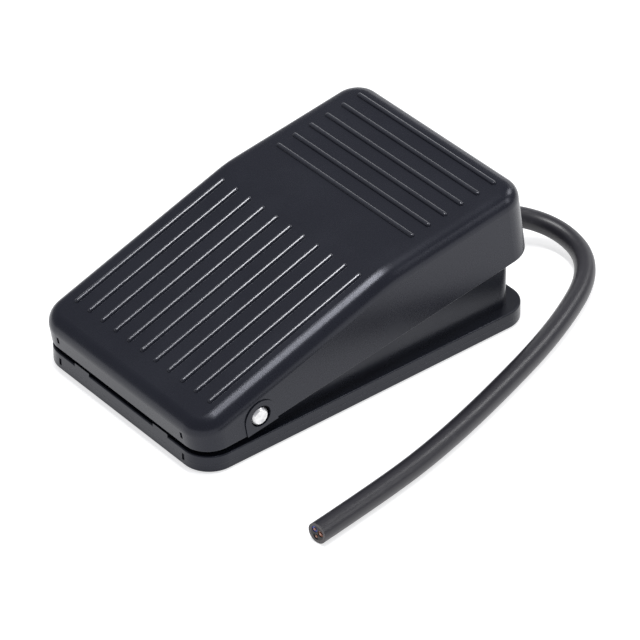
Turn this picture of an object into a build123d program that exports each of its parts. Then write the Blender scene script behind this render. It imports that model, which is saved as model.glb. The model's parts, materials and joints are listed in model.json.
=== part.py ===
"""Momentary foot switch: a hinged, ribbed pedal cover over a base with an upstanding housing.

Millimetres. +Y runs from the hinge end to the cable end, +X is to the right, +Z is up.
The origin is on the floor, under the middle of the base. The pedal is drawn at rest, raised by its springs.
"""

import os
from math import atan2, cos, degrees, pi, radians, sin, tan

from build123d import *

# Base: a flat flange with a housing standing on it
base_length = 104.4
base_width = 66.0
base_corner = 7.6
rim_height = 4.7
rim_edge = 0.4
floor_thickness = 2.5
housing_width = 60.0
housing_front = -48.5
housing_rear = 47.5
housing_corner = 3.5
housing_wall = 2.0
housing_front_height = 9.5
housing_pin_height = 16.0
housing_rear_height = 27.0
stop_tab_spacing = 31.6
stop_tab_width = 5.8
stop_tab_depth = 2.4
stop_tab_height = 0.7
mould_mark_spacing = 49.6
mould_mark_width = 0.9
mould_mark_height = 1.9
mould_mark_depth = 0.35

# Rubber feet in round pockets
foot_radius = 5.0
foot_pocket_depth = 1.2
foot_proud = 0.4
foot_spacing_x = 46.0
foot_spacing_y = 84.0

# Hinge
pin_y = -34.85
pin_above_base = 10.7
pin_radius = 2.4
pin_end_chamfer = 0.5
pin_inset = 0.1
pin_running_clearance = 0.06
pin_seat_clearance = 0.02
pin_boss_wall = 2.2
pin_boss_length = 3.0
rest_angle = 8.75
press_angle = 4.5

# Pedal cover, in its own frame: y along the skirt's lower edge, z square to it, zero at the pin
cover_width = 66.0
cover_wall = 2.0
cover_front = -17.8
cover_rear = 88.3
cover_corner = 7.2
cover_edge_radius = 4.0
skirt_below_pin = 3.4
front_edge_below_pin = 2.0
front_edge_depth = 12.8
rear_top = 17.0
front_top = 5.8
crease_y = 43.6
crease_radius = 30.0
skirt_edge = 0.4
rib_pitch = 5.32
rib_width = 1.4
rib_height = 0.6
front_rib_count = 11
front_rib_start = -9.8
front_rib_end = 39.3
rear_rib_count = 6
rear_rib_first = 56.3
rear_rib_length = 53.0
pin_pad_radius = 4.7
pin_pad_height = 0.3
pin_counterbore_gap = 0.5
pin_counterbore_rise = 0.4
pin_counterbore_depth = 1.4
stop_rib_y = 70.0
stop_rib_length = 6.0
stop_rib_width = 1.6
stop_rib_gap = 0.3

# Return springs
spring_x = 18.0
spring_y = 20.0
spring_mean_radius = 4.2
spring_wire = 0.9
spring_turns = 6.5
spring_top = 25.0
spring_guide_clearance = 0.5
spring_guide_height = 6.0
spring_cup_wall = 1.6
spring_seat_gap = 0.3

# Microswitch, standing on its terminals' side against a bracket
switch_length = 27.8
switch_thickness = 10.3
switch_height = 15.9
switch_y = 12.0
switch_above_floor = 5.2
switch_lid = 2.0
switch_edge = 0.6
switch_hole_spacing_y = 22.2
switch_hole_spacing_z = 10.3
switch_seat_gap = 0.1
bracket_thickness = 3.0
bracket_margin = 0.4
screw_radius = 1.5
screw_head_radius = 2.8
screw_head_height = 2.0
screw_clearance = 0.1
nut_across_flats = 5.5
nut_height = 2.4
nut_clearance = 0.05
plunger_x = -1.0
plunger_size_x = 4.4
plunger_size_y = 2.4
plunger_stroke = 0.7
plunger_clearance = 0.15
plunger_below_lever = 0.15
plunger_guide_depth = 6.0
lever_thickness = 0.5
lever_width = 5.0
lever_reach = 22.5
lever_rest_angle = 14.0
lever_pivot_from_end = 1.8
lever_pivot_above_case = 1.3
lever_pivot_radius = 0.5
lever_ear_radius = 1.3
lever_clearance = 0.1
plunger_from_pivot = 4.8
striker_radius = 2.6
striker_from_pivot = 19.0
striker_gap = 0.3
terminal_thickness = 0.8
terminal_width = 3.2
terminal_length = 4.6
terminal_spacing = 7.4
terminal_embed = 2.0

# Cable, its entry and its clamp
cable_radius = 2.75
cable_fit = 0.05
cable_tail_end = 32.5
relief_flange_wall = 1.6
relief_flange = 1.5
relief_above_rim = 0.2
relief_neck_wall = 0.6
relief_root_wall = 0.9
relief_tip_wall = 0.4
relief_length = 8.4
clamp_y = 36.0
clamp_depth = 6.0
clamp_width = 21.0
clamp_gap = 0.8
clamp_cover = 2.0
clamp_screw_spacing = 14.0
clamp_screw_radius = 1.3
clamp_screw_length = 9.0
core_radius = 0.85
core_ring = 1.12
core_recess = 3.0
core_set_back = 0.25
conductor_radius = 0.45
wire_level = 3.0
wire_lane_pitch = 3.0
wire_start = 1.4
wire_drop = 5.0
wire_bend = 1.6

# Heights and places that follow from the sizes above
base_bottom = foot_proud
floor_top = base_bottom + floor_thickness
rim_top = base_bottom + rim_height
pin_z = base_bottom + pin_above_base
cable_bore = cable_radius + cable_fit
relief_flange_radius = cable_bore + relief_flange_wall
relief_neck_radius = cable_bore + relief_neck_wall
relief_root_radius = cable_bore + relief_root_wall
relief_tip_radius = cable_bore + relief_tip_wall
cable_z = rim_top + relief_above_rim + relief_flange_radius
cover_inside = cover_width / 2 - cover_wall
housing_inside = housing_width / 2 - housing_wall
slope_angle = degrees(atan2(rear_top - front_top, crease_y - cover_front))


def tilted(angle, y=0.0, z=0.0):
    """Plane square to the pedal's side, tipped by angle, at a point of the pedal's own frame."""
    turn = radians(rest_angle)
    tip = radians(angle)
    origin = (0, pin_y + y * cos(turn) - z * sin(turn), pin_z + y * sin(turn) + z * cos(turn))
    return Plane(origin=origin, x_dir=(1, 0, 0), z_dir=(0, -sin(tip), cos(tip)))


pedal_frame = tilted(rest_angle)
pedal_side = Plane(origin=pedal_frame.origin, x_dir=pedal_frame.y_dir, z_dir=pedal_frame.x_dir)
pedal_up = Axis((0, 0, 0), pedal_frame.z_dir)
world_side = Plane.YZ


def outline_edges(part, up):
    """Edges where the part's faces on the up side meet its walls."""
    tops = [face for face in part.faces() if face.normal_at().dot(up) > 0.7]
    shared = [edge for face in tops for edge in face.edges()]
    return [edge for edge in shared if sum(edge.is_same(other) for other in shared) == 1]


def pedal_block(inset, skirt, front_skirt, corner, edge_radius):
    """The pedal's outer shape, or its hollow when inset, down to the given edges."""
    front = cover_front + inset
    rear = cover_rear - inset
    rear_z = rear_top - inset
    drop = inset / cos(radians(slope_angle))
    front_z = front_top - drop + inset * tan(radians(slope_angle))
    bend_y = crease_y + (rear_z - rear_top + drop) / tan(radians(slope_angle))
    ramp_end = cover_front + front_edge_depth
    with BuildPart() as block:
        with BuildSketch(pedal_side):
            with BuildLine():
                Polyline(
                    (front, -front_skirt),
                    (ramp_end, -skirt),
                    (rear, -skirt),
                    (rear, rear_z),
                    (bend_y, rear_z),
                    (front, front_z),
                    close=True,
                )
            profile = make_face()
            bend = profile.vertices().sort_by_distance((bend_y, rear_z, 0))[0]
            fillet(bend, radius=crease_radius - inset)
        extrude(amount=cover_width / 2 - inset, both=True)
        fillet(block.edges().filter_by(pedal_up), radius=corner)
        fillet(outline_edges(block.part, pedal_frame.z_dir), radius=edge_radius)
    return block.part


# Where the switch's case and holes, its lever and plunger, and the striker lie at rest
case_bottom = floor_top + switch_above_floor
case_middle = case_bottom + switch_height / 2
case_top = case_bottom + switch_height
case_front = switch_y - switch_length / 2
hole_spots = [
    (switch_y + side * switch_hole_spacing_y / 2, case_middle - side * switch_hole_spacing_z / 2)
    for side in (-1, 1)
]
lever_pivot_y = case_front + lever_pivot_from_end
lever_pivot_z = case_top + lever_pivot_above_case
lever_rise = tan(radians(lever_rest_angle))
lever_half = lever_thickness / 2 / cos(radians(lever_rest_angle))
plunger_y = lever_pivot_y + plunger_from_pivot
plunger_top = lever_pivot_z + (plunger_from_pivot - plunger_size_y / 2) * lever_rise
plunger_top -= lever_half + plunger_below_lever
striker_y = lever_pivot_y + striker_from_pivot
striker_bottom = lever_pivot_z + (striker_from_pivot + striker_radius) * lever_rise
striker_bottom += lever_half + striker_gap

# Pedal cover
cover_outside = pedal_block(0, skirt_below_pin, front_edge_below_pin, cover_corner, cover_edge_radius)
cover_inner = pedal_block(
    cover_wall,
    skirt_below_pin + 2 * cover_wall,
    front_edge_below_pin + 2 * cover_wall,
    cover_corner - cover_wall,
    cover_edge_radius - cover_wall,
)


def half_round_rib(length):
    """A rib along x with a round crest and round ends, sunk so that its foot is rib_width wide."""
    radius = (rib_width**2 / 4 + rib_height**2) / (2 * rib_height)
    with BuildPart() as rib:
        with BuildSketch(Plane.XY.offset(rib_height - radius)):
            SlotOverall(length, 2 * radius)
            Rectangle(length, radius, align=(Align.CENTER, Align.MAX), mode=Mode.SUBTRACT)
        revolve(axis=Axis((0, 0, rib_height - radius), (1, 0, 0)))
    return rib.part


front_rib = half_round_rib((front_rib_end - front_rib_start) / cos(radians(slope_angle)))
rear_rib = half_round_rib(rear_rib_length)
spring_spots = [(-spring_x, spring_y), (spring_x, spring_y)]
spring_inside = spring_mean_radius - spring_wire / 2
spring_outside = spring_mean_radius + spring_wire / 2
guide_radius = spring_inside - spring_guide_clearance


def stop_rib_bottom():
    """Height in the pedal's frame of a rib that meets the housing's edge at the end of the press."""
    pressed = radians(rest_angle - press_angle)
    edge_y = pin_y + stop_rib_y * cos(pressed)
    rise = (housing_rear_height - housing_pin_height) / (housing_rear - pin_y)
    edge_z = base_bottom + housing_pin_height + rise * (edge_y + stop_rib_length / 2 - pin_y)
    return (edge_z - pin_z) * cos(pressed) - (edge_y - pin_y) * sin(pressed) + stop_rib_gap


with BuildPart() as cover_hollow:
    add(cover_inner)
    with BuildSketch(Plane.XY.offset(spring_top + spring_seat_gap)):
        with Locations(*spring_spots):
            Circle(spring_outside + spring_cup_wall)
    extrude(amount=cover_width, mode=Mode.SUBTRACT)
    with BuildSketch(Plane.XY.offset(spring_top - spring_guide_height)):
        with Locations(*spring_spots):
            Circle(guide_radius)
    extrude(amount=cover_width, mode=Mode.SUBTRACT)
    with BuildSketch(Plane.XY.offset(striker_bottom)):
        with Locations((0, striker_y)):
            Circle(striker_radius)
    extrude(amount=cover_width, mode=Mode.SUBTRACT)
    with BuildSketch(pedal_frame.offset(stop_rib_bottom())):
        with Locations((-cover_inside, stop_rib_y), (cover_inside, stop_rib_y)):
            Rectangle(2 * (stop_rib_width + cover_inside - housing_width / 2), stop_rib_length)
    extrude(amount=cover_width, mode=Mode.SUBTRACT)

with BuildPart() as pedal_cover:
    add(cover_outside)
    fillet(outline_edges(pedal_cover.part, -pedal_frame.z_dir), radius=skirt_edge)
    add(cover_hollow.part, mode=Mode.SUBTRACT)
    middle = (front_rib_start + front_rib_end) / 2
    middle_z = rear_top - (crease_y - middle) * tan(radians(slope_angle))
    with Locations(tilted(rest_angle + slope_angle, middle, middle_z)):
        with GridLocations(rib_pitch, 0, front_rib_count, 1):
            add(front_rib, rotation=(0, 0, 90))
    rear_middle = rear_rib_first + (rear_rib_count - 1) * rib_pitch / 2
    with Locations(tilted(rest_angle, rear_middle, rear_top)):
        with GridLocations(0, rib_pitch, 1, rear_rib_count):
            add(rear_rib)
    for side in (-1, 1):
        with BuildSketch(pedal_side.offset(side * cover_width / 2)):
            Circle(pin_pad_radius)
            Rectangle(2 * pin_pad_radius, pin_pad_radius, align=(Align.CENTER, Align.MAX))
            with Locations((0, -skirt_below_pin)):
                Rectangle(
                    3 * pin_pad_radius,
                    2 * pin_pad_radius,
                    align=(Align.CENTER, Align.MAX),
                    mode=Mode.SUBTRACT,
                )
        extrude(amount=side * pin_pad_height)
        with BuildSketch(pedal_side.offset(side * (cover_width / 2 + pin_pad_height))):
            with Locations((0, pin_counterbore_rise)):
                Circle(pin_radius + pin_counterbore_gap)
        extrude(amount=-side * pin_counterbore_depth, mode=Mode.SUBTRACT)
    with BuildSketch(pedal_side):
        Circle(pin_radius + pin_running_clearance)
    extrude(amount=cover_width, both=True, mode=Mode.SUBTRACT)
    mark_z = (front_top - front_edge_below_pin) / 2 - mould_mark_height / 2
    front_face = Plane(origin=tilted(rest_angle, cover_front, mark_z).origin,
                       x_dir=(1, 0, 0), z_dir=-pedal_frame.y_dir)
    with BuildSketch(front_face):
        with GridLocations(mould_mark_spacing, 0, 2, 1):
            Rectangle(mould_mark_width, mould_mark_height)
    extrude(amount=-mould_mark_depth, mode=Mode.SUBTRACT)

# Base housing
with BuildPart() as base_housing:
    with BuildSketch(Plane.XY.offset(base_bottom)):
        RectangleRounded(base_width, base_length, base_corner)
    extrude(amount=rim_height)
    rim_faces = base_housing.faces().sort_by(Axis.Z)
    fillet(rim_faces[-1].edges() + rim_faces[0].edges(), radius=rim_edge)
    with BuildSketch(world_side):
        with BuildLine():
            Polyline(
                (housing_front, base_bottom),
                (housing_rear, base_bottom),
                (housing_rear, base_bottom + housing_rear_height),
                (pin_y, base_bottom + housing_pin_height),
                (
                    housing_front + 2 * housing_corner,
                    base_bottom + (housing_front_height + housing_pin_height) / 2,
                ),
                (housing_front, base_bottom + housing_front_height),
                close=True,
            )
        make_face()
    extrude(amount=housing_width / 2, both=True)
    upright = base_housing.edges().filter_by(Axis.Z)
    corners = [edge for edge in upright if edge.length > rim_height and edge.center().Z > rim_top]
    fillet(corners, radius=housing_corner)
    with BuildSketch(Plane.XY.offset(floor_top)):
        with Locations((0, (housing_front + housing_rear) / 2)):
            RectangleRounded(
                2 * housing_inside,
                housing_rear - housing_front - 2 * housing_wall,
                housing_corner - housing_wall,
            )
    extrude(amount=cover_width, mode=Mode.SUBTRACT)
    with BuildSketch(Plane.XY.offset(rim_top - rim_edge)):
        with Locations((0, stop_tab_depth / 2 - base_length / 2)):
            with GridLocations(stop_tab_spacing, 0, 2, 1):
                Rectangle(stop_tab_width, stop_tab_depth)
    extrude(amount=rim_edge + stop_tab_height)
    with BuildSketch(Plane.XZ.offset(base_length / 2)):
        with Locations((0, base_bottom + rim_height / 2)):
            with GridLocations(mould_mark_spacing, 0, 2, 1):
                Rectangle(mould_mark_width, mould_mark_height)
    extrude(amount=-mould_mark_depth, mode=Mode.SUBTRACT)
    for side in (-1, 1):
        with BuildSketch(Plane.YZ.offset(side * housing_inside)):
            with Locations((pin_y, pin_z)):
                Circle(pin_radius + pin_boss_wall)
        extrude(amount=-side * pin_boss_length)
    with BuildSketch(Plane.YZ):
        with Locations((pin_y, pin_z)):
            Circle(pin_radius + pin_seat_clearance)
    extrude(amount=base_width, both=True, mode=Mode.SUBTRACT)
    with BuildSketch(Plane.XY.offset(floor_top)):
        with Locations(*spring_spots):
            Circle(guide_radius)
    extrude(amount=spring_guide_height)
    bracket_x = -(switch_thickness / 2 + switch_seat_gap + bracket_thickness / 2)
    bracket_top = case_top - bracket_margin
    with BuildSketch(Plane.XY.offset(floor_top)):
        with Locations((bracket_x, switch_y)):
            Rectangle(bracket_thickness, switch_length - bracket_margin)
    extrude(amount=bracket_top - floor_top)
    with BuildSketch(Plane.YZ.offset(bracket_x)):
        with Locations(*hole_spots):
            Circle(screw_radius + screw_clearance)
    extrude(amount=bracket_thickness, both=True, mode=Mode.SUBTRACT)
    with BuildSketch(Plane.XY.offset(floor_top)):
        with Locations((0, clamp_y)):
            Rectangle(clamp_width, clamp_depth)
    extrude(amount=cable_z - clamp_gap / 2 - floor_top)
    with BuildSketch(Plane.XY.offset(cable_z)):
        with Locations((0, clamp_y)):
            with GridLocations(clamp_screw_spacing, 0, 2, 1):
                Circle(clamp_screw_radius)
    extrude(amount=-(clamp_screw_length - clamp_cover - cable_radius), mode=Mode.SUBTRACT)
    with BuildSketch(Plane.XZ.offset(-housing_rear)):
        with Locations((0, cable_z)):
            Circle(cable_bore)
    extrude(amount=housing_rear - cable_tail_end, mode=Mode.SUBTRACT)
    with BuildSketch(Plane.XZ.offset(-housing_rear)):
        with Locations((0, cable_z)):
            Circle(relief_neck_radius + cable_fit)
    extrude(amount=housing_wall, mode=Mode.SUBTRACT)
    with BuildSketch(Plane.XY.offset(base_bottom)):
        with GridLocations(foot_spacing_x, foot_spacing_y, 2, 2):
            Circle(foot_radius)
    extrude(amount=foot_pocket_depth, mode=Mode.SUBTRACT)

with BuildPart() as rubber_feet:
    with BuildSketch(Plane.XY):
        with GridLocations(foot_spacing_x, foot_spacing_y, 2, 2):
            Circle(foot_radius)
    extrude(amount=foot_proud + foot_pocket_depth)

with BuildPart() as hinge_pin:
    with BuildSketch(Plane.YZ):
        with Locations((pin_y, pin_z)):
            Circle(pin_radius)
    extrude(amount=cover_width / 2 + pin_pad_height - pin_inset, both=True)
    chamfer(hinge_pin.edges().filter_by(GeomType.CIRCLE), length=pin_end_chamfer)


def coil_spring(x):
    """A compression spring standing on the housing's floor at x, round its guide post."""
    height = spring_top - floor_top - spring_wire
    start = (x, spring_y, floor_top + spring_wire / 2)
    with BuildPart() as spring:
        with BuildLine():
            coil = Helix(height / spring_turns, height, spring_mean_radius, center=start)
        with BuildSketch(coil ^ 0):
            Circle(spring_wire / 2)
        sweep(is_frenet=True)
    return spring.part


spring_left = coil_spring(-spring_x)
spring_right = coil_spring(spring_x)

# Microswitch
case_left = -switch_thickness / 2
case_split = switch_thickness / 2 - switch_lid


def case_slab(x, thickness):
    """One half of the switch's case, from x, with its two mounting holes."""
    with BuildPart() as slab:
        with BuildSketch(Plane.YZ.offset(x)):
            with Locations((switch_y, case_middle)):
                RectangleRounded(switch_length, switch_height, switch_edge)
            with Locations(*hole_spots):
                Circle(screw_radius + screw_clearance, mode=Mode.SUBTRACT)
        extrude(amount=thickness)
    return slab.part


with BuildPart() as switch_case:
    add(case_slab(case_left, case_split - case_left))
    with BuildSketch(Plane.XY.offset(case_top)):
        with Locations((plunger_x, plunger_y)):
            Rectangle(plunger_size_x + 2 * plunger_clearance, plunger_size_y + 2 * plunger_clearance)
    extrude(amount=-plunger_guide_depth, mode=Mode.SUBTRACT)
    with BuildSketch(Plane.YZ.offset(plunger_x)):
        with Locations((lever_pivot_y, case_top + lever_pivot_above_case / 2)):
            Rectangle(2 * lever_pivot_from_end, lever_pivot_above_case)
        with Locations((lever_pivot_y, lever_pivot_z)):
            Circle(lever_ear_radius)
    extrude(amount=lever_width / 2 + cover_wall / 2, both=True)
    with BuildSketch(Plane.YZ.offset(plunger_x)):
        with Locations((lever_pivot_y, lever_pivot_z)):
            Circle(lever_ear_radius + lever_clearance)
            Rectangle(3 * lever_pivot_from_end, 2 * (lever_pivot_above_case - lever_clearance))
    extrude(amount=lever_width / 2 + lever_clearance, both=True, mode=Mode.SUBTRACT)
    with BuildSketch(Plane.YZ.offset(plunger_x)):
        with Locations((lever_pivot_y, lever_pivot_z)):
            Circle(lever_pivot_radius + lever_clearance / 2)
    extrude(amount=switch_thickness, both=True, mode=Mode.SUBTRACT)
    with BuildSketch(Plane.XY.offset(case_bottom)):
        with Locations((plunger_x, switch_y)):
            with GridLocations(0, terminal_spacing, 1, 3):
                Rectangle(terminal_thickness, terminal_width)
    extrude(amount=terminal_embed, mode=Mode.SUBTRACT)

switch_lid_part = case_slab(case_split, switch_lid)

with BuildPart() as switch_plunger:
    plunger_bottom = case_top - plunger_guide_depth + plunger_stroke + plunger_clearance
    with BuildSketch(Plane.XY.offset(plunger_bottom)):
        with Locations((plunger_x, plunger_y)):
            Rectangle(plunger_size_x, plunger_size_y)
    extrude(amount=plunger_top - plunger_bottom)

with BuildPart() as switch_lever:
    lever_side = Plane(
        origin=(plunger_x, lever_pivot_y, lever_pivot_z),
        x_dir=(0, cos(radians(lever_rest_angle)), sin(radians(lever_rest_angle))),
        z_dir=(1, 0, 0),
    )
    with BuildSketch(lever_side):
        with Locations((lever_reach / 2, 0)):
            Rectangle(lever_reach, lever_thickness)
    extrude(amount=lever_width / 2, both=True)
    with BuildSketch(lever_side):
        Circle(lever_pivot_radius)
    extrude(amount=lever_width / 2 + cover_wall / 2, both=True)


def terminal(row):
    """A solder tab under the case; row counts from the middle one towards the cable."""
    with BuildPart() as tab:
        with BuildSketch(Plane.XY.offset(case_bottom + terminal_embed)):
            with Locations((plunger_x, switch_y + row * terminal_spacing)):
                Rectangle(terminal_thickness, terminal_width)
        extrude(amount=-(terminal_embed + terminal_length))
    return tab.part


with BuildPart() as switch_screws:
    nut_start = bracket_x - bracket_thickness / 2
    with BuildSketch(Plane.YZ.offset(nut_start - nut_height)):
        with Locations(*hole_spots):
            Circle(screw_radius)
    extrude(amount=case_split + switch_lid - nut_start + nut_height)
    with BuildSketch(Plane.YZ.offset(case_split + switch_lid)):
        with Locations(*hole_spots):
            Circle(screw_head_radius)
    extrude(amount=screw_head_height)

with BuildPart() as switch_nuts:
    with BuildSketch(Plane.YZ.offset(nut_start)):
        with Locations(*hole_spots):
            RegularPolygon(nut_across_flats / 2, 6, major_radius=False)
            Circle(screw_radius + nut_clearance, mode=Mode.SUBTRACT)
    extrude(amount=-nut_height)

# Cable entry and clamp
relief_mouth = housing_rear + relief_flange
with BuildPart() as strain_relief:
    with BuildSketch(Plane.YZ):
        with BuildLine():
            Polyline(
                (housing_rear - housing_wall - relief_flange, cable_z + cable_bore),
                (housing_rear - housing_wall - relief_flange, cable_z + relief_flange_radius),
                (housing_rear - housing_wall, cable_z + relief_flange_radius),
                (housing_rear - housing_wall, cable_z + relief_neck_radius),
                (housing_rear, cable_z + relief_neck_radius),
                (housing_rear, cable_z + relief_flange_radius),
                (relief_mouth, cable_z + relief_flange_radius),
                (relief_mouth, cable_z + relief_root_radius),
                (relief_mouth + relief_length, cable_z + relief_tip_radius),
                (relief_mouth + relief_length, cable_z + cable_bore),
                close=True,
            )
        make_face()
    revolve(axis=Axis((0, 0, cable_z), (0, 1, 0)))

with BuildPart() as cable_clamp:
    clamp_bottom = cable_z + clamp_gap / 2
    with BuildSketch(Plane.XY.offset(clamp_bottom)):
        with Locations((0, clamp_y)):
            RectangleRounded(clamp_width, clamp_depth, 1.0)
            with GridLocations(clamp_screw_spacing, 0, 2, 1):
                Circle(clamp_screw_radius + screw_clearance, mode=Mode.SUBTRACT)
    extrude(amount=cable_z + cable_radius + clamp_cover - clamp_bottom)
    with BuildSketch(Plane.XZ.offset(-clamp_y)):
        with Locations((0, cable_z)):
            Circle(cable_bore)
    extrude(amount=clamp_depth, both=True, mode=Mode.SUBTRACT)

with BuildPart() as clamp_screws:
    clamp_top = cable_z + cable_radius + clamp_cover
    with BuildSketch(Plane.XY.offset(clamp_top)):
        with Locations((0, clamp_y)):
            with GridLocations(clamp_screw_spacing, 0, 2, 1):
                Circle(screw_head_radius)
    extrude(amount=screw_head_height)
    with BuildSketch(Plane.XY.offset(clamp_top)):
        with Locations((0, clamp_y)):
            with GridLocations(clamp_screw_spacing, 0, 2, 1):
                Circle(clamp_screw_radius)
    extrude(amount=-clamp_screw_length)

with BuildPart() as cable_tail:
    with BuildSketch(Plane.XZ.offset(-cable_tail_end)):
        with Locations((0, cable_z)):
            Circle(cable_radius)
    extrude(amount=-(relief_mouth - cable_tail_end))

# Free cable: out of the relief, round to the right and forward along the floor to its cut end
cable_route = [
    (0, relief_mouth, cable_z),
    (0, 65.6, cable_z),
    (11.6, 79.8, 4.8),
    (29.8, 75.6, 3.4),
    (43.6, 50.8, 2.9),
    (55.0, 18.0, 2.8),
    (61.8, -6.0, 2.8),
    (65.4, -26.0, 2.8),
    (68.0, -46.0, 2.8),
]


def bend_radii(points):
    """The largest arc at each corner that its two runs leave room for."""
    corners = [Vector(*point) for point in points]
    radii = []
    for before, here, after in zip(corners, corners[1:], corners[2:]):
        half_turn = radians((here - before).get_angle(after - here)) / 2
        radii.append(0.45 * min((here - before).length, (after - here).length) / tan(half_turn))
    return radii


cable_bends = bend_radii(cable_route)
core_turns = [radians(turn) for turn in (45, 285, 165)]
core_spots = [(core_ring * cos(turn), core_ring * sin(turn)) for turn in core_turns]
print("cable bend radii:", [round(radius, 1) for radius in cable_bends])

with BuildPart() as cable_jacket:
    with BuildLine():
        cable_path = FilletPolyline(*cable_route, radius=cable_bends)
    with BuildSketch(Plane(origin=cable_path @ 0, z_dir=cable_path % 0)):
        Circle(cable_radius)
    sweep()
    cut_face = Plane(origin=cable_path @ 1, x_dir=(0, 0, 1), z_dir=cable_path % 1)
    with BuildSketch(cut_face):
        with Locations(*core_spots):
            Circle(core_radius)
    extrude(amount=-core_recess, mode=Mode.SUBTRACT)

cable_length = cable_path.length
section = pi * cable_radius**2
print("cable length:", round(cable_length, 1))
print("volume over section times length:", round(cable_jacket.part.volume / section / cable_length, 4))


def core_end(number):
    """The end of one insulated core, just inside the cut face, bored for its conductor."""
    with BuildPart() as core:
        with BuildSketch(cut_face.offset(-core_recess)):
            with Locations(core_spots[number]):
                Circle(core_radius)
                Circle(conductor_radius, mode=Mode.SUBTRACT)
        extrude(amount=core_recess - core_set_back)
    return core.part


with BuildPart() as core_conductors:
    with BuildSketch(cut_face.offset(-core_recess)):
        with Locations(*core_spots):
            Circle(conductor_radius)
    extrude(amount=core_recess)


def inner_wire(number, row):
    """A core from the cable's inner end to the solder tab of that row, in its own lane."""
    level = floor_top + wire_level
    tab_x = plunger_x + terminal_thickness / 2 + core_radius
    lane = (1 - row) * wire_lane_pitch
    tab_y = switch_y + row * terminal_spacing
    start_x, start_z = core_spots[number]
    drop_y = cable_tail_end - wire_start
    points = [
        (start_x, cable_tail_end, cable_z + start_z),
        (start_x, drop_y, cable_z + start_z),
        (tab_x + lane, drop_y - wire_drop, level),
    ]
    if lane:
        points.append((tab_x + lane, tab_y + terminal_width / 2 + 0.8 * lane, level))
        points.append((tab_x, tab_y + terminal_width / 2, level))
    points.append((tab_x, tab_y - terminal_width / 2, level))
    with BuildPart() as wire:
        with BuildLine():
            path = FilletPolyline(*points, radius=wire_bend)
        with BuildSketch(Plane(origin=path @ 0, z_dir=path % 0)):
            Circle(core_radius)
        sweep()
    return wire.part


parts = {
    "base_housing": base_housing.part,
    "rubber_feet": rubber_feet.part,
    "hinge_pin": hinge_pin.part,
    "pedal_cover": pedal_cover.part,
    "return_spring_left": spring_left,
    "return_spring_right": spring_right,
    "switch_case": switch_case.part,
    "switch_lid": switch_lid_part,
    "switch_plunger": switch_plunger.part,
    "switch_lever": switch_lever.part,
    "terminal_common": terminal(-1),
    "terminal_open": terminal(0),
    "terminal_closed": terminal(1),
    "switch_screws": switch_screws.part,
    "switch_nuts": switch_nuts.part,
    "strain_relief": strain_relief.part,
    "cable_clamp": cable_clamp.part,
    "clamp_screws": clamp_screws.part,
    "cable_tail": cable_tail.part,
    "cable_jacket": cable_jacket.part,
    "core_end_blue": core_end(0),
    "core_end_brown": core_end(1),
    "core_end_black": core_end(2),
    "core_conductors": core_conductors.part,
    "inner_wire_blue": inner_wire(0, -1),
    "inner_wire_brown": inner_wire(1, 0),
    "inner_wire_black": inner_wire(2, 1),
}

os.makedirs("parts", exist_ok=True)
for name, solid in parts.items():
    solid.label = name
    export_step(solid, f"parts/{name}.step")
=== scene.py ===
"""The foot switch's looks: its cord, its finishes, and the light and camera round it.

Metres, in the part's own frame.
"""
import json
from math import cos, pi, radians, sin

import bmesh
import bpy
from mathutils import Matrix, Vector


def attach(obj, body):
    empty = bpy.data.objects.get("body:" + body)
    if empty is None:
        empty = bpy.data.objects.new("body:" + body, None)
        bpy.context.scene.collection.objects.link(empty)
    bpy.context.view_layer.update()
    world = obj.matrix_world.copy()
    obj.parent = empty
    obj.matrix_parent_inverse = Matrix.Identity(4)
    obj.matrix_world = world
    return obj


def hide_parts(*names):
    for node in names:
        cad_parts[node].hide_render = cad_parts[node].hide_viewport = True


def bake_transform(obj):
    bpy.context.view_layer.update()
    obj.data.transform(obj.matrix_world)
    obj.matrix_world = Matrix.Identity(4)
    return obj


MM = 0.001

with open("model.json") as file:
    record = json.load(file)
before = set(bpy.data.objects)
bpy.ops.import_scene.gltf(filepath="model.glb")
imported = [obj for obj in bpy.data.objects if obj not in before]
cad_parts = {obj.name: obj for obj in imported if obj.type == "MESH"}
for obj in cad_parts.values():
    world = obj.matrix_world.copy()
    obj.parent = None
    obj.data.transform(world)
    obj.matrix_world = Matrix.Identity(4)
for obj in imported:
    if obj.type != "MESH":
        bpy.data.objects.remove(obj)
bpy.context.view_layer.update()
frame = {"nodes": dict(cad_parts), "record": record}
nodes = frame["nodes"]


def millimetres(*values):
    """A place given in millimetres."""
    return Vector(values) * MM


# ---------------------------------------------------------------- camera
CAMERA_TARGET = millimetres(16.06, -2.75, 15.4)
CAMERA_DISTANCE = 1041.12 * MM
CAMERA_AZIMUTH = radians(51.18)
CAMERA_ELEVATION = radians(35.95)
CAMERA_ROLL = radians(-0.49)
CAMERA_LENS = 239.12


def make_camera():
    """The camera, looking at its target from its azimuth, elevation and distance, slightly rolled."""
    back = Vector((
        sin(CAMERA_AZIMUTH) * cos(CAMERA_ELEVATION),
        -cos(CAMERA_AZIMUTH) * cos(CAMERA_ELEVATION),
        sin(CAMERA_ELEVATION),
    ))
    right = Vector((0, 0, 1)).cross(back).normalized()
    up = back.cross(right)
    across = right * cos(CAMERA_ROLL) + up * sin(CAMERA_ROLL)
    above = up * cos(CAMERA_ROLL) - right * sin(CAMERA_ROLL)
    data = bpy.data.cameras.new("camera")
    data.lens = CAMERA_LENS
    data.sensor_width = 36
    data.clip_end = 20
    data.dof.use_dof = False
    camera = bpy.data.objects.new("camera", data)
    bpy.context.scene.collection.objects.link(camera)
    turn = Matrix((across, above, back)).transposed().to_4x4()
    camera.matrix_world = Matrix.Translation(CAMERA_TARGET + back * CAMERA_DISTANCE) @ turn
    bpy.context.scene.camera = camera


make_camera()

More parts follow.
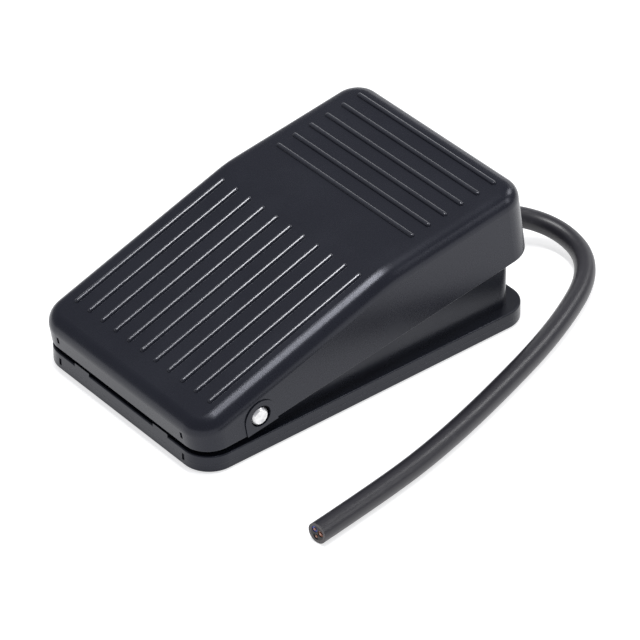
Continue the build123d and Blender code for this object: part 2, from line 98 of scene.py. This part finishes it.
# ---------------------------------------------------------------- cord
CABLE_RADIUS = 2.75 * MM
CABLE_ROUTE = [
    (0, 49.0, 9.7),
    (0, 65.6, 9.7),
    (11.6, 79.8, 4.8),
    (29.8, 75.6, 3.4),
    (43.6, 50.8, 2.9),
    (55.0, 18.0, 2.8),
    (61.8, -6.0, 2.8),
    (65.4, -26.0, 2.8),
    (68.0, -46.0, 2.8),
]
CORE_RADIUS = 0.85 * MM
CORE_RING = 1.12 * MM
CORE_TURNS = [radians(turn) for turn in (45, 285, 165)]
CORE_RECESS = 3.0 * MM
CORE_SIDES = 32
STRAND_RADIUS = 0.138 * MM
STRAND_PITCH = 0.28 * MM
STRAND_LENGTH = 0.9 * MM
STRAND_SIDES = 16
STRAND_SCALES = (0.88, 1.0)
STRAND_SEED = 4


def make_cable():
    """The free cable as a smooth curve along its route."""
    data = bpy.data.curves.new("cable", "CURVE")
    data.dimensions = "3D"
    data.bevel_depth = CABLE_RADIUS
    data.bevel_resolution = 10
    data.resolution_u = 24
    line = data.splines.new("NURBS")
    line.points.add(len(CABLE_ROUTE) - 1)
    for point, place in zip(line.points, CABLE_ROUTE):
        point.co = (*millimetres(*place), 1)
    line.order_u = 3
    line.use_endpoint_u = True
    cable = bpy.data.objects.new("cable", data)
    bpy.context.scene.collection.objects.link(cable)
    return cable


def cut_frame():
    """Axes at the cable's cut end: up, across and outwards, with the end's centre."""
    end = millimetres(*CABLE_ROUTE[-1])
    out = (end - millimetres(*CABLE_ROUTE[-2])).normalized()
    up = Vector((0, 0, 1))
    across = out.cross(up)
    return Matrix((up, across, out)).transposed().to_4x4(), end


def mesh_object(name, build):
    """A mesh object whose bmesh is filled in by build."""
    shape = bmesh.new()
    build(shape)
    bmesh.ops.recalc_face_normals(shape, faces=shape.faces)
    data = bpy.data.meshes.new(name)
    shape.to_mesh(data)
    shape.free()
    made = bpy.data.objects.new(name, data)
    bpy.context.scene.collection.objects.link(made)
    return made


def tube_wall(shape, matrix, low_radius, low, high_radius, high, sides=48):
    """A tube's side between two depths on the matrix's z axis: two rings of points joined by faces."""
    rings = []
    for radius, depth in ((low_radius, low), (high_radius, high)):
        ring = []
        for step in range(sides):
            turn = 2 * pi * step / sides
            ring.append(shape.verts.new(matrix @ Vector((radius * cos(turn), radius * sin(turn), depth))))
        rings.append(ring)
    for step in range(sides):
        after = (step + 1) % sides
        shape.faces.new((rings[0][step], rings[0][after], rings[1][after], rings[1][step]))
    return rings


def ring_edges(shape, ring):
    """The edges round a closed ring of points."""
    return [shape.edges.get((point, after)) for point, after in zip(ring, ring[1:] + ring[:1])]


def make_cut_jacket():
    """The jacket's cut face, just inside the cable's end, with a bore round each core."""
    axes, end = cut_frame()
    outer = CABLE_RADIUS * 0.996
    taper = 0.9
    face = -0.02 * MM
    back = face - CORE_RECESS

    def build(shape):
        place = Matrix.Translation(end) @ axes
        rim = tube_wall(shape, place, taper * outer, back, outer, face)[1]
        edges = ring_edges(shape, rim)
        for turn in CORE_TURNS:
            core = place @ Matrix.Translation(Vector((cos(turn), sin(turn), 0)) * CORE_RING)
            mouth = tube_wall(shape, core, CORE_RADIUS, back, CORE_RADIUS, face, CORE_SIDES)[1]
            edges += ring_edges(shape, mouth)
        bmesh.ops.triangle_fill(shape, edges=edges, use_beauty=True, use_dissolve=False)

    return mesh_object("cable_cut_face", build)


def make_strands():
    """Seven copper strands in each core, laid out by a node group that repeats one short wire."""
    axes, end = cut_frame()
    matrix = Matrix.Translation(end) @ axes

    def build(shape):
        for turn in CORE_TURNS:
            middle = Vector((cos(turn), sin(turn), 0)) * CORE_RING
            shape.verts.new(matrix @ middle)
            for step in range(6):
                around = pi * step / 3 + turn
                shape.verts.new(matrix @ (middle + Vector((cos(around), sin(around), 0)) * STRAND_PITCH))

    strands = mesh_object("core_strands", build)
    group = bpy.data.node_groups.new("strands", "GeometryNodeTree")
    group.interface.new_socket("Geometry", in_out="INPUT", socket_type="NodeSocketGeometry")
    group.interface.new_socket("Strand Radius", in_out="INPUT", socket_type="NodeSocketFloat")
    group.interface.new_socket("Strand Length", in_out="INPUT", socket_type="NodeSocketFloat")
    group.interface.new_socket("Seed", in_out="INPUT", socket_type="NodeSocketInt")
    group.interface.new_socket("Direction", in_out="INPUT", socket_type="NodeSocketVector")
    group.interface.new_socket("Geometry", in_out="OUTPUT", socket_type="NodeSocketGeometry")
    enter = group.nodes.new("NodeGroupInput")
    leave = group.nodes.new("NodeGroupOutput")
    wire = group.nodes.new("GeometryNodeMeshCylinder")
    wire.inputs["Vertices"].default_value = STRAND_SIDES
    points = group.nodes.new("GeometryNodeMeshToPoints")
    jitter = group.nodes.new("FunctionNodeRandomValue")
    jitter.inputs[2].default_value, jitter.inputs[3].default_value = STRAND_SCALES
    aim = group.nodes.new("FunctionNodeAlignRotationToVector")
    copies = group.nodes.new("GeometryNodeInstanceOnPoints")
    real = group.nodes.new("GeometryNodeRealizeInstances")
    paint = group.nodes.new("GeometryNodeSetMaterial")
    paint.inputs["Material"].default_value = materials["copper"]
    link = group.links.new
    link(enter.outputs["Geometry"], points.inputs["Mesh"])
    link(enter.outputs["Strand Radius"], wire.inputs["Radius"])
    link(enter.outputs["Strand Length"], wire.inputs["Depth"])
    link(enter.outputs["Seed"], jitter.inputs["Seed"])
    link(enter.outputs["Direction"], aim.inputs["Vector"])
    link(points.outputs["Points"], copies.inputs["Points"])
    link(wire.outputs["Mesh"], copies.inputs["Instance"])
    link(aim.outputs["Rotation"], copies.inputs["Rotation"])
    link(jitter.outputs[1], copies.inputs["Scale"])
    link(copies.outputs["Instances"], real.inputs["Geometry"])
    link(real.outputs["Geometry"], paint.inputs["Geometry"])
    link(paint.outputs["Geometry"], leave.inputs["Geometry"])
    maker = strands.modifiers.new("strands", "NODES")
    maker.node_group = group
    names = {item.name: item.identifier for item in group.interface.items_tree if item.in_out == "INPUT"}
    maker[names["Strand Radius"]] = STRAND_RADIUS
    maker[names["Strand Length"]] = STRAND_LENGTH
    maker[names["Seed"]] = STRAND_SEED
    maker[names["Direction"]] = tuple(axes.col[2].xyz)
    bpy.context.view_layer.update()
    solid = bpy.data.meshes.new_from_object(strands.evaluated_get(bpy.context.evaluated_depsgraph_get()))
    solid.transform(Matrix.Translation(-axes.col[2].xyz * STRAND_LENGTH / 2))
    strands.modifiers.clear()
    strands.data = solid
    return strands


# ---------------------------------------------------------------- shader maths
class Field:
    """A shader value that takes part in sums like a number."""

    def __init__(self, tree, socket):
        self.tree = tree
        self.socket = socket

    def node(self, kind, *values, output=0, **settings):
        """Any other node, fed with values in the order of its enabled inputs."""
        made = self.tree.nodes.new(kind)
        for key, value in settings.items():
            setattr(made, key, value)
        inputs = [socket for socket in made.inputs if socket.enabled]
        for socket, value in zip(inputs, values):
            if isinstance(value, Field):
                self.tree.links.new(value.socket, socket)
            elif value is not None:
                socket.default_value = value
        outputs = [socket for socket in made.outputs if socket.enabled]
        return Field(self.tree, outputs[output])

    def maths(self, operation, *others):
        return self.node("ShaderNodeMath", self, *others, operation=operation)

    def __add__(self, other):
        return self.maths("ADD", other)

    def __sub__(self, other):
        return self.maths("SUBTRACT", other)

    def __rsub__(self, other):
        return self.node("ShaderNodeMath", other, self, operation="SUBTRACT")

    def __mul__(self, other):
        return self.maths("MULTIPLY", other)

    def __neg__(self):
        return self.maths("MULTIPLY", -1.0)

    __radd__ = __add__
    __rmul__ = __mul__

    def smallest(self, other):
        return self.maths("MINIMUM", other)

    def size(self):
        return self.maths("ABSOLUTE")

    def step(self, low, high):
        """0 at low and 1 at high, with a smooth change between."""
        return self.node("ShaderNodeMapRange", self, low, high, 0.0, 1.0, interpolation_type="SMOOTHSTEP")

    def tint(self, dark, light):
        """A colour from dark to light as the field goes from 0 to 1."""
        return self.node("ShaderNodeMix", self, (*dark, 1), (*light, 1), data_type="RGBA")

    def parts(self):
        """The three parts of a vector."""
        return [self.node("ShaderNodeSeparateXYZ", self, output=number) for number in range(3)]


class Surface:
    """One procedural material under construction."""

    def __init__(self, name):
        self.material = bpy.data.materials.new(name)
        self.material.use_nodes = True
        self.tree = self.material.node_tree
        self.shader = self.tree.nodes["Principled BSDF"]
        self.start = Field(self.tree, None)
        self.place = self.start.node("ShaderNodeTexCoord", output=3)
        self.x, self.y, self.z = self.place.parts()
        facing = self.start.node("ShaderNodeNewGeometry", output=1)
        self.facing_x, self.facing_y, self.facing_z = facing.parts()

    def noise(self, size, detail=2.0, roughness=0.5, stretch=(1, 1, 1)):
        """Soft noise whose features are about size metres across."""
        place = self.start.node("ShaderNodeVectorMath", self.place, stretch, operation="MULTIPLY")
        return self.start.node("ShaderNodeTexNoise", place, 1 / size, detail, roughness)

    def cells(self, size):
        """Distance to the nearest of scattered points about size metres apart."""
        return self.start.node("ShaderNodeTexVoronoi", self.place, 1 / size)

    def set(self, **values):
        for name, value in values.items():
            socket = self.shader.inputs[name.replace("_", " ")]
            if isinstance(value, Field):
                self.tree.links.new(value.socket, socket)
            else:
                socket.default_value = value
        return self

    def bump(self, height, distance):
        """Raises the surface by height times distance metres."""
        made = self.tree.nodes.new("ShaderNodeBump")
        made.inputs["Strength"].default_value = 1.0
        made.inputs["Distance"].default_value = distance
        self.tree.links.new(height.socket, made.inputs["Height"])
        self.tree.links.new(made.outputs["Normal"], self.shader.inputs["Normal"])
        return self


# ---------------------------------------------------------------- materials
PIN_Y = -34.85 * MM
PIN_Z = 11.1 * MM
REST_ANGLE = radians(8.75)
COVER_FRONT = -17.8 * MM
CREASE = 43.6 * MM
FRONT_TOP = 5.8 * MM
REAR_TOP = 17.0 * MM
PARTING_LINE_Z = 2.6 * MM
EJECTOR_MARK_X = 21 * MM
EJECTOR_MARK_Y = 22 * MM
EJECTOR_MARK_RADIUS = 3.0 * MM
TURNING_PITCH = 0.22 * MM
CREST_FADE = (0.30 * MM, 0.52 * MM)
CUT_FACE_FADE = (3.2 * MM, 3.0 * MM)
FILLING_FADE = (1.95 * MM, 2.2 * MM)


def moulded_black(name):
    """Satin black plastic with a fine mould texture and slow changes of gloss, for its caller to use."""
    surface = Surface(name)
    surface.fine = surface.noise(0.50 * MM, 2.0, 0.6)
    surface.smears = surface.noise(16 * MM, 3.0, 0.5).step(0.38, 0.68)
    surface.set(Specular_IOR_Level=0.34, Specular_Tint=(0.86, 0.88, 1.0, 1))
    return surface


def height_over_cover(surface):
    """Height over the pedal's ribbed top, which slopes up to the crease and is level behind it."""
    along = (surface.y - PIN_Y) * cos(REST_ANGLE) + (surface.z - PIN_Z) * sin(REST_ANGLE)
    height = (surface.z - PIN_Z) * cos(REST_ANGLE) - (surface.y - PIN_Y) * sin(REST_ANGLE)
    rise = (REAR_TOP - FRONT_TOP) / (CREASE - COVER_FRONT)
    slope_top = (along - CREASE) * rise + REAR_TOP
    return height - slope_top.smallest(REAR_TOP)


def cover_material():
    """The pedal's plastic, lighter along its ribs' crests as rubbed wear and painted sheen, with a few
    dust specks between them.
    """
    dark = (0.0064, 0.0070, 0.0112)
    light = (0.0140, 0.0158, 0.0225)
    surface = moulded_black("cover_plastic")
    above = height_over_cover(surface)
    crest = above.step(*CREST_FADE)
    # Lighter colour on the rib crests: partly rubbed wear, partly a painted highlight along each crest.
    wear_and_sheen = crest * surface.noise(2.2 * MM, 3.0).step(0.15, 0.65)
    on_top = above.step(-0.12 * MM, 0.02 * MM)
    specks = surface.cells(3.1 * MM).step(0.10, 0.03) * surface.noise(9 * MM).step(0.52, 0.62) * on_top
    tone = surface.smears * 0.12 + surface.fine * 0.30 + wear_and_sheen * 0.55 + specks * 0.6
    surface.set(Base_Color=tone.tint(dark, light))
    surface.set(Roughness=(surface.fine - 0.5) * 0.08 + surface.smears * 0.03 + 0.26)
    surface.set(Coat_Weight=crest * 0.7, Coat_Roughness=0.18)
    texture = surface.fine * (1 - 0.9 * above.step(0.15 * MM, 0.45 * MM))
    surface.bump(texture + surface.noise(3.5 * MM) * 0.3, 0.005 * MM)
    return surface.material


def base_material():
    """The base's plastic: a fine parting line round its edge, ejector marks and scuffs underneath."""
    dark = (0.0055, 0.0066, 0.0105)
    light = (0.0095, 0.0108, 0.0155)
    surface = moulded_black("base_plastic")
    across = surface.x.size() - EJECTOR_MARK_X
    along = surface.y.size() - EJECTOR_MARK_Y
    from_mark = (across * across + along * along).maths("SQRT")
    under = (-surface.facing_z).step(0.6, 0.9)
    ring = (from_mark - EJECTOR_MARK_RADIUS).size().step(0.16 * MM, 0.05 * MM) * under
    seam = (surface.z - PARTING_LINE_Z).size().step(0.10 * MM, 0.03 * MM)
    scuffs = surface.noise(1.8 * MM, 4.0, 0.7, (0.25, 1, 1)).step(0.60, 0.72) * under
    height = surface.fine * 0.3 + surface.noise(3.5 * MM) * 0.3 + seam * 1.6 - ring * 2.0
    surface.bump(height, 0.014 * MM)
    surface.set(Base_Color=(surface.smears * 0.3 + surface.fine * 0.7).tint(dark, light))
    surface.set(Roughness=(surface.fine - 0.5) * 0.06 + surface.smears * 0.06 + scuffs * 0.3 + 0.24)
    return surface.material


def rubber_material():
    """Matt black rubber with dust in its texture."""
    surface = Surface("rubber_foot")
    fine = surface.noise(0.35 * MM, 3.0, 0.6)
    dust = surface.noise(2.5 * MM, 4.0, 0.6).step(0.45, 0.7)
    surface.set(Base_Color=(dust * 0.6 + fine * 0.4).tint((0.018, 0.018, 0.018), (0.06, 0.058, 0.055)))
    surface.set(Roughness=fine * 0.15 + 0.72)
    surface.bump(fine, 0.03 * MM)
    return surface.material


def jacket_material():
    """Extruded black vinyl with slow ripples and fine scuffs, and a paler ring round its knife-cut end."""
    surface = Surface("jacket_pvc")
    fine = surface.noise(0.30 * MM, 2.0, 0.6)
    ripple = surface.noise(2.4 * MM, 2.0, 0.4)
    scuff = surface.noise(1.1 * MM, 4.0, 0.7, (1, 0.22, 1)).step(0.58, 0.72)
    end = millimetres(*CABLE_ROUTE[-1])
    away = surface.start.node("ShaderNodeVectorMath", surface.place, end, operation="DISTANCE")
    cut = away.step(*CUT_FACE_FADE) * (-surface.facing_y).step(0.85, 0.95)
    ring = (away + fine * (0.3 * MM)).step(*FILLING_FADE)
    outside = (scuff * 0.6 + fine * 0.3).tint((0.0115, 0.0110, 0.0150), (0.026, 0.025, 0.031))
    inside = (ring * 0.8 + fine * 0.2).tint((0.004, 0.004, 0.005), (0.080, 0.074, 0.076))
    surface.set(Base_Color=cut.node("ShaderNodeMix", cut, outside, inside, data_type="RGBA"))
    surface.set(Roughness=fine * 0.10 + scuff * 0.14 + cut * 0.2 + 0.32)
    surface.bump(ripple * 0.8 + fine * 0.35 - ring * cut, 0.022 * MM)
    return surface.material


def core_material(name, dark, light):
    """One core's coloured insulation."""
    surface = Surface(name)
    fine = surface.noise(0.2 * MM, 2.0)
    surface.set(Base_Color=fine.tint(dark, light), Roughness=fine * 0.15 + 0.38)
    surface.bump(fine, 0.01 * MM)
    return surface.material


def turned_steel(name, dark, light, roughness, centre_y=None, centre_z=None):
    """Drawn or turned steel: rings round the axis on a cut end, fine scratches elsewhere."""
    surface = Surface(name)
    fine = surface.noise(0.25 * MM, 3.0, 0.6)
    stain = surface.noise(2.0 * MM, 4.0, 0.6).step(0.4, 0.7)
    height = fine
    if centre_y is not None:
        across = surface.y - centre_y
        above = surface.z - centre_z
        away = (across * across + above * above).maths("SQRT")
        rings = (away * (2 * pi / TURNING_PITCH)).maths("SINE")
        height = rings * 0.35 * surface.facing_x.size().step(0.8, 0.95) + fine
    surface.set(Base_Color=(stain * 0.7 + fine * 0.3).tint(light, dark), Metallic=1.0)
    surface.set(Roughness=stain * 0.14 + fine * 0.10 + roughness)
    surface.bump(height, 0.010 * MM)
    return surface.material


def moulded_colour(name, dark, light, roughness):
    """Plain moulded plastic of one colour, a little uneven."""
    surface = Surface(name)
    fine = surface.noise(0.3 * MM, 2.0)
    slow = surface.noise(5 * MM, 2.0)
    surface.set(Base_Color=(fine * 0.5 + slow * 0.5).tint(dark, light), Roughness=fine * 0.12 + roughness)
    surface.bump(fine, 0.012 * MM)
    return surface.material


STEEL_DARK = (0.34, 0.34, 0.35)
STEEL_LIGHT = (0.62, 0.62, 0.63)
materials = {
    "cover_plastic": cover_material(),
    "base_plastic": base_material(),
    "rubber_foot": rubber_material(),
    "pin_steel": turned_steel("pin_steel", (0.62, 0.62, 0.62), (0.84, 0.84, 0.84), 0.34, PIN_Y, PIN_Z),
    "spring_steel": turned_steel("spring_steel", STEEL_DARK, STEEL_LIGHT, 0.24),
    "screw_steel": turned_steel("screw_steel", STEEL_DARK, STEEL_LIGHT, 0.30),
    "lever_steel": turned_steel("lever_steel", (0.5, 0.5, 0.5), (0.72, 0.72, 0.72), 0.26),
    "switch_plastic": moulded_colour("switch_plastic", (0.016, 0.016, 0.017), (0.03, 0.03, 0.031), 0.42),
    "switch_lid_plastic": moulded_colour(
        "switch_lid_plastic", (0.10, 0.014, 0.010), (0.16, 0.025, 0.018), 0.40
    ),
    "plunger_plastic": moulded_colour("plunger_plastic", (0.5, 0.03, 0.02), (0.66, 0.05, 0.035), 0.28),
    "terminal_brass": turned_steel("terminal_brass", (0.60, 0.52, 0.34), (0.80, 0.74, 0.56), 0.30),
    "jacket_pvc": jacket_material(),
    "core_blue": core_material("core_blue", (0.035, 0.07, 0.34), (0.09, 0.13, 0.52)),
    "core_brown": core_material("core_brown", (0.17, 0.055, 0.022), (0.26, 0.09, 0.04)),
    "core_black": core_material("core_black", (0.022, 0.022, 0.024), (0.05, 0.05, 0.052)),
    "copper": turned_steel("copper", (0.20, 0.10, 0.075), (0.40, 0.23, 0.18), 0.34),
}


def dress(obj, slot):
    """Gives an object its one material, which bears its slot's name."""
    obj.data.materials.clear()
    obj.data.materials.append(materials[slot])


for part in frame["record"]["subparts"]:
    dress(nodes[part["node"]], part["material_slot"])


def make_spring(side):
    """A return spring's wire, merged into one skin."""
    node = nodes["return_spring_" + side]

    def build(shape):
        shape.from_mesh(node.data)
        bmesh.ops.remove_doubles(shape, verts=shape.verts, dist=0.001 * MM)
        bmesh.ops.transform(shape, matrix=node.matrix_world, verts=shape.verts)

    return mesh_object("spring_wire_" + side, build)


for side in ("left", "right"):
    spring = make_spring(side)
    dress(spring, "spring_steel")
    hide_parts("return_spring_" + side)
    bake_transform(spring)

# ---------------------------------------------------------------- cord pieces
cable = make_cable()
dress(cable, "jacket_pvc")
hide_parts("cable_jacket")
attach(cable, "base")
cut_jacket = make_cut_jacket()
dress(cut_jacket, "jacket_pvc")
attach(cut_jacket, "base")
strands = make_strands()
dress(strands, "copper")
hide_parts("core_conductors")
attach(strands, "base")


# ---------------------------------------------------------------- floor and light
def make_floor():
    """A pale sheet that glows a little, as on a lit table, so that shadows stay faint."""
    half = 3.0
    corners = ((-half, -half, 0), (half, -half, 0), (half, half, 0), (-half, half, 0))

    def build(shape):
        shape.faces.new([shape.verts.new(corner) for corner in corners])

    floor = mesh_object("floor", build)
    surface = Surface("floor_paper")
    surface.set(Base_Color=(0.60, 0.60, 0.60, 1), Roughness=0.9, Specular_IOR_Level=0.1)
    surface.set(Emission_Color=(1, 1, 1, 1), Emission_Strength=0.65)
    floor.data.materials.append(surface.material)


def softbox(name, place, size, watts):
    """A rectangular light at a place, turned towards the object."""
    data = bpy.data.lights.new(name, "AREA")
    data.shape = "RECTANGLE"
    data.size, data.size_y = size
    data.energy = watts
    lamp = bpy.data.objects.new(name, data)
    bpy.context.scene.collection.objects.link(lamp)
    back = (Vector(place) - LIGHT_AIM).normalized()
    lamp.matrix_world = Matrix.Translation(place) @ back.to_track_quat("Z", "Y").to_matrix().to_4x4()


LIGHT_AIM = millimetres(0, 0, 20)
make_floor()
softbox("top", (-0.06, 0.0, 1.3), (0.15, 0.9), 13)
softbox("rim", (0.9, 0.75, 0.75), (0.3, 0.6), 2.4)
softbox("rear", (0.12, 0.95, 0.80), (0.35, 0.35), 3)
softbox("back", (-0.75, 1.1, 0.38), (1.4, 0.35), 2.2)

scene = bpy.context.scene
world = bpy.data.worlds.new("studio")
world.use_nodes = True
sky = world.node_tree.nodes["Background"]
sky.inputs["Color"].default_value = (0.94, 0.95, 1.03, 1)
sky.inputs["Strength"].default_value = 0.42
scene.world = world
scene.view_settings.view_transform = "Standard"
scene.view_settings.look = "None"
